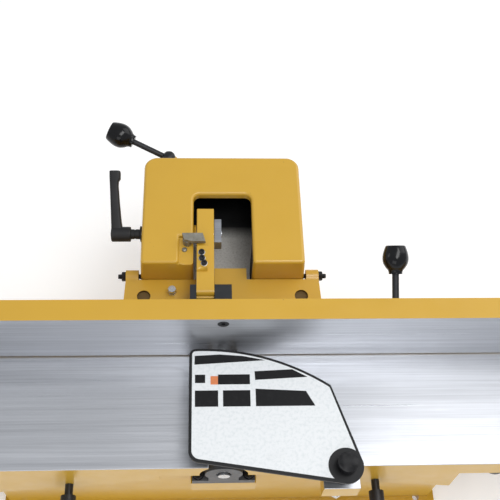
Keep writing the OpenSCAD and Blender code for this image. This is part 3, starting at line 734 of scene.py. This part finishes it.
def stop_bolt(bm):
    """The bolt that stands in the web, with a lock nut under its head."""
    base = axis_frame((-75.6, 79.6, 0), (0, 0, 1), (0.9, 0.4, 0))
    rings = [(3.4, 22)] + thread_rings(3.5, 1, 23, 51) + hex_rings(11, 51, 56)
    rings += thread_rings(3.5, 1, 56, 59) + hex_rings(11, 59, 64)
    ring_solid(bm, rings, base, HEX_SEGMENTS)


STOP_PLACES = ((-31.5, 117), (-31, 107), (-27.8, 98.5))
TAB_TOP = 106


def arm_screws(bm):
    """The knurled socket screws on the arm's stop tab."""
    rings = [(2, -5), (2, 1)] + socket_rings(4.3, 1, 4.4, 3, 2.4, 24)
    for x, y in STOP_PLACES:
        ring_solid(bm, rings, axis_frame((x, y, TAB_TOP), (0, 0, 1)), 96)


def arm_washers(bm):
    """The washers under those screws."""
    rings = [(4.7, 0), (5.0, 0.2), (5.0, 0.8), (4.7, 1), (2.1, 1)]
    for x, y in STOP_PLACES:
        ring_solid(bm, rings, axis_frame((x, y, TAB_TOP), (0, 0, 1)))


def ledge_button(bm):
    """A round-headed socket screw on the hood's ledge."""
    base = axis_frame((-57, 128.9, LEDGE_TOP), (0, 0, 1))
    rings = [(2.5, -10), (2.5, 0), (4.2, 0), (4.1, 0.8), (3.4, 1.8), (2.4, 2.4)]
    well = hexagon(2.5)
    rings += [(lambda a: well(a) + 0.2, 2.6), (well, 2.4), (well, 1.2), (0.2, 1)]
    ring_solid(bm, rings, base, HEX_SEGMENTS)


def face_screw(bm):
    """The countersunk socket screw in the fence's face."""
    base = axis_frame((-1, 0, high("fence").z - TABLE_Z - 15.5), (0, -1, 0))
    well = hexagon(5.8)
    rings = [(4, -26), (4, -4.6), (8.3, -0.4), (8.1, -0.2)]
    rings += [(lambda a: well(a) + 0.3, -0.2), (well, -0.6), (well, -3), (0.2, -3.4)]
    ring_solid(bm, rings, base, HEX_SEGMENTS)


def guard_pivot(bm):
    """The guard's post: a ground pin with a hexagon foot."""
    node_low, node_high = low("guard_post"), high("guard_post")
    middle = (node_low + node_high) / 2
    base = Matrix.Translation(Vector((middle.x, middle.y, node_low.z)) * MM)
    height = node_high.z - node_low.z
    rings = hex_rings(22, 0, 12) + [(7, 12), (7, height - 1), (6, height)]
    ring_solid(bm, rings, base, HEX_SEGMENTS)


def washer(bm):
    """A washer that lies flat on the leaning side of the hood."""
    base = axis_frame((-CAR_HALF - 3.2, SHAFT_Y, SHAFT_Z), (1, 0, DRAFT / SIDE_HEIGHT))
    ring_solid(bm, [(11.8, 0), (12.4, 0.4), (12.4, 1.6), (11.8, 2.1)], base, 72)


def fasteners():
    """Every screw, nut and washer that is rebuilt finer than in CAD."""
    other_finish = {"ledge_screw": [DULL_STEEL], "clamp_washer": [FINISH["black_oxide"]]}
    for node, build in (("bearing_bolts", base_bolts), ("support_bolts", shelf_bolts),
                        ("pivot_screws", bracket_screws), ("jam_nuts", bracket_nuts),
                        ("tilt_stop_bolt", stop_bolt), ("stop_screws", arm_screws),
                        ("stop_washers", arm_washers), ("ledge_screw", ledge_button),
                        ("lug_screw", face_screw), ("guard_post", guard_pivot), ("clamp_washer", washer)):
        bm = bmesh.new()
        build(bm)
        node_piece(node, bm, other_finish.get(node))


# ---- Handles ----

# Radius and height along the knob's swelling side.
KNOB_PROFILE = ((9.3, 0), (9.5, 3), (10.6, 5.6), (13.5, 9), (16.6, 14.5), (17.8, 21), (17.0, 28),
                (15.0, 34.5), (13.6, 38))


def knob_rings():
    """A tapered knob from its neck to its flat, slightly dished end."""
    return [(8.6, 0), *curve_through(KNOB_PROFILE), (12.9, 38.8), (12.0, 39), (10.5, 38.7), (0.3, 38.3)]


def tapered_knob(node, foot, axis, size):
    """A knob whose neck stands at foot, in the fence's frame."""
    bm = bmesh.new()
    ring_solid(bm, [(r * size, z * size) for r, z in knob_rings()], axis_frame(foot, axis, (0, 0, 1)), 72)
    node_piece(node, bm)


def handle_rod(node, foot, axis, radius, start, end):
    """A rod with a turned-down end, between two distances along an axis from its foot."""
    bm = bmesh.new()
    rings = [(radius, start), (radius, end - 2), (radius - 0.6, end - 1.4), (radius - 0.6, end)]
    ring_solid(bm, rings, axis_frame(foot, axis, (0, 0, 1)), 48)
    node_piece(node, bm)


def push_knob():
    """The knob on the back of the fence."""
    tilt = math.radians(30)
    axis = Vector((0, math.cos(tilt), math.sin(tilt)))
    foot = Vector((244, 32, 115))
    handle_rod("fence_rod", foot, axis, 4.9, -17.5, 45)
    tapered_knob("fence_knob", foot + axis * 37, axis, 1.04)


def slide_lever():
    """The slide lock's lever: a domed hub, a rod and a knob."""
    swing, rise = math.radians(158.5), math.radians(14)
    axis = Vector((math.cos(swing) * math.cos(rise), math.sin(swing) * math.cos(rise), math.sin(rise)))
    x, y = -85, 318
    foot = Vector((x, y, 67))
    handle_rod("lever_rod", foot, axis, 4.6, 8.5, 73)
    tapered_knob("lever_knob", foot + axis * 63, axis, 1.1)
    bm = bmesh.new()
    dome = [(9.8, 0), (10.2, 0.5), (10.2, 13.5), (9.9, 15.6), (8.9, 17.6), (7.0, 19.4), (4.4, 20.5)]
    ring_solid(bm, dome + [(1.2, 20.9)], axis_frame((x, y, 58.4), (0, 0, 1)), 64)
    node_piece("lever_hub", bm)


# Sections of the clamp lever's arm: distance from the hub, reach in X, and reach in thickness.
ARM_SECTIONS = (
    (-3, -167.8, -150.5, -10.5, 9.0),
    (8, -168.0, -151.0, -10.0, 7.5),
    (20, -168.4, -153.0, -9.4, 6.4),
    (48, -169.4, -155.6, -9.0, 5.6),
    (73, -170.3, -157.4, -8.8, 5.2),
    (79.5, -170.6, -157.2, -8.8, 5.3),
    (83.5, -170.8, -154.4, -8.8, 5.8),
    (92.5, -171.0, -154.2, -8.6, 5.8),
    (95.9, -170.9, -155.0, -8.0, 5.2),
    (96.5, -169.6, -156.6, -6.4, 3.8),
)
ARM_LEAN = 30
ARM_SEGMENTS = 32
# Below 1 the sections swell toward rectangles.
ARM_ROUNDNESS = 0.42


def swollen(turn, start, end):
    """A coordinate on a rounded section between start and end, by the cosine or sine at a turn."""
    return (start + end) / 2 + (end - start) / 2 * math.copysign(abs(turn) ** ARM_ROUNDNESS, turn)


def lever_arm(bm):
    """Adds the clamp lever's arm, lofted through its sections."""
    lean = Matrix.Rotation(math.radians(ARM_LEAN), 4, "X")
    place = FENCE_FRAME @ Matrix.Translation(Vector((0, SHAFT_Y, SHAFT_Z)) * MM) @ lean
    loops = []
    for y, x0, x1, z0, z1 in ARM_SECTIONS:
        loop = []
        for i in range(ARM_SEGMENTS):
            turn = 2 * math.pi * i / ARM_SEGMENTS
            x = swollen(math.cos(turn), x0, x1)
            z = swollen(math.sin(turn), z0, z1)
            loop.append(bm.verts.new(place @ (Vector((x, y, z)) * MM)))
        loops.append(loop)
    for first, second in zip(loops, loops[1:]):
        for i in range(ARM_SEGMENTS):
            k = (i + 1) % ARM_SEGMENTS
            bm.faces.new((first[i], first[k], second[k], second[i]))
    bm.faces.new(loops[0])
    bm.faces.new(list(reversed(loops[-1])))


def clamp_handle():
    """A moulded clamp lever: a hub with a stepped collar, and a tapered arm with a thumb lip."""
    bm = bmesh.new()
    hub = [(9.4, 0), (10.8, 0.5), (11.4, 1.6), (11.4, 28), (10.9, 29.2), (8.4, 29.5), (7.6, 29.8)]
    collar = [(7.6, 34.5), (6.9, 34.8), (6.9, 36.4), (7.6, 36.7), (7.6, 42.6), (7.2, 43)]
    hub_frame = axis_frame((-168, SHAFT_Y, SHAFT_Z), (1, 0, 0))
    ring_solid(bm, hub + collar, hub_frame, 72)
    ring_solid(bm, [(4.2, -0.8), (4.2, 2)], hub_frame)
    lever_arm(bm)
    node_piece("clamp_handle", bm, [satin_black("lever_coating", (0.018, 0.018, 0.019))], 42)


# ---- Guard label ----

# The film's top above the tables, and how far the ink stands over it.
LABEL_TOP = 45.6
INK = 0.25


def flat_plate(bm, outline, z0, z1):
    """Adds a thin plate with an outline of (X, Y) points in the fence's frame."""
    top = [bm.verts.new(FENCE_FRAME @ (Vector((x, y, z1)) * MM)) for x, y in outline]
    bottom = [bm.verts.new(FENCE_FRAME @ (Vector((x, y, z0)) * MM)) for x, y in outline]
    bm.faces.new(top)
    bm.faces.new(list(reversed(bottom)))
    for i in range(len(outline)):
        k = (i + 1) % len(outline)
        bm.faces.new((bottom[i], bottom[k], top[k], top[i]))


def rectangle(x0, y0, x1, y1):
    """The outline of an upright rectangle between two corners."""
    return ((x0, y0), (x1, y0), (x1, y1), (x0, y1))


def label_marks():
    """Plain bars and a square on the label, with an orange patch beside a black panel."""
    marks = (
        ((-41.5, -20.8), (-42, -34.4), (60, -28.3), (28, -21.6), (-6, -18.9)),
        rectangle(-41, -62.5, -26.6, -50),
        rectangle(-8.4, -65, 37, -50),
        ((44, -45.4), (44.6, -58.6), (119.5, -54.6), (98, -42.8)),
        ((44.6, -72), (44.6, -98), (128, -98), (116, -76)),
        rectangle(-41, -98, -8.4, -74),
        rectangle(-1.5, -98, 37, -74),
    )
    bm = bmesh.new()
    for outline in marks:
        flat_plate(bm, outline, LABEL_TOP - 0.1, LABEL_TOP + INK)
    piece("guard_label_marks", bm, "guard", [label_ink("label_black", (0.012, 0.012, 0.013))])
    bm = bmesh.new()
    flat_plate(bm, rectangle(-19, -65, -8.5, -52.4), LABEL_TOP - 0.1, LABEL_TOP + INK)
    piece("guard_label_patch", bm, "guard", [label_ink("label_orange", (0.72, 0.24, 0.10))])


# ---- The rest of the nodes ----

# How far each plain node's corners are rounded.
SOFT_EDGES = {
    "infeed_gib": 0.6, "outfeed_gib": 0.6, "infeed_handwheel": 0.8, "outfeed_handwheel": 0.8,
    "handwheel_grip_in": 1.4, "handwheel_grip_out": 1.4, "leadscrew_nuts": 0.8, "infeed_lock": 1.0,
    "outfeed_lock": 1.0, "cutterhead_body": 0.5, "knives": 0.15, "knife_gibs": 0.4, "gib_screws": 0.3,
    "ball_bearings": 0.8, "drive_pulley": 0.3, "guard_plate": 1.0, "guard_label": 0.1, "guard_spring": 0.0,
    "guard_knob": 1.5, "slide_key": 0.5, "hinge_pins": 0.6, "fence_lug": 0.8, "arm_pin": 0.5,
    "flip_stop": 0.5, "clamp_shaft": 0.6, "clamp_block": 0.6, "lock_stud": 0.6, "lock_plate": 0.8,
    "infeed_screw": 0.5, "outfeed_screw": 0.5,
}


def plain_nodes():
    """The nodes whose CAD shape needs only its corners rounded."""
    block_iron = ground_iron("block_iron", (0.40, 0.42, 0.455))
    other_finish = {"flip_stop": [DULL_STEEL], "clamp_block": [block_iron]}
    for node, width in SOFT_EDGES.items():
        softened(node, width, other_finish.get(node))


camera()
lights()
floor()
castings()
fasteners()
push_knob()
slide_lever()
clamp_handle()
label_marks()
plain_nodes()
